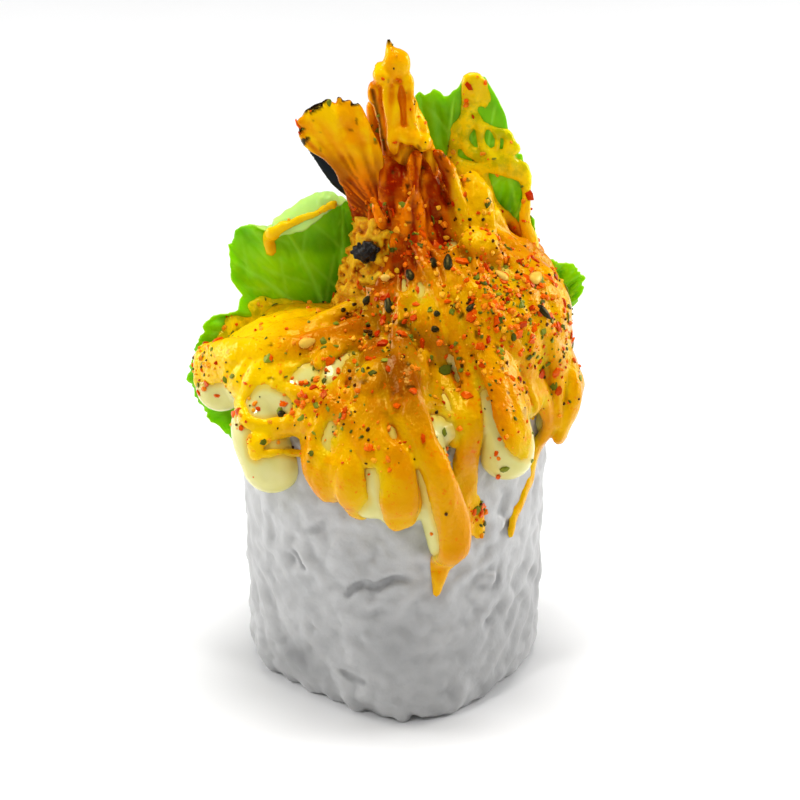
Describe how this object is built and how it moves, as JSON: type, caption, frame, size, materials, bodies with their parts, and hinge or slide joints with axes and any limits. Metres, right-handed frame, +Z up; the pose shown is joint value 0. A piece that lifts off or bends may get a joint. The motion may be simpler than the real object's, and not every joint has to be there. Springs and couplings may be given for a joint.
{
  "type": "fried shrimp sushi roll",
  "caption": "Upright end piece of a fried shrimp sushi roll: rice outside, shrimp tail and lettuce standing out of the top, mayonnaise and torched orange cheese sauce running down.",
  "frame": {"origin": "centre of the cut face that the roll stands on", "axes": "+Z up along the roll towards the shrimp tail, +X to the right and -Y towards the viewer of the best side"},
  "size_m": [0.0662, 0.0638, 0.1106],
  "materials": {
    "rice": "moist cooked rice, white, slightly glossy",
    "fried_shrimp": "crisp golden crumb and torched tail shell",
    "lettuce": "fresh green leaf, soft sheen",
    "mayonnaise": "cream white, glossy",
    "orange_sauce": "torched orange cheese sauce, glossy",
    "chilli_flakes": "dry red and orange flakes",
    "herb_flakes": "dry green flakes",
    "sesame": "toasted seeds, pale and black"
  },
  "bodies": {
    "root": {"rice": "rice", "fried_shrimp": "fried_shrimp", "lettuce_left": "lettuce", "lettuce_right": "lettuce", "lettuce_side": "lettuce", "lettuce_back": "lettuce", "mayonnaise": "mayonnaise", "orange_sauce": "orange_sauce"}
  },
  "joints": []
}
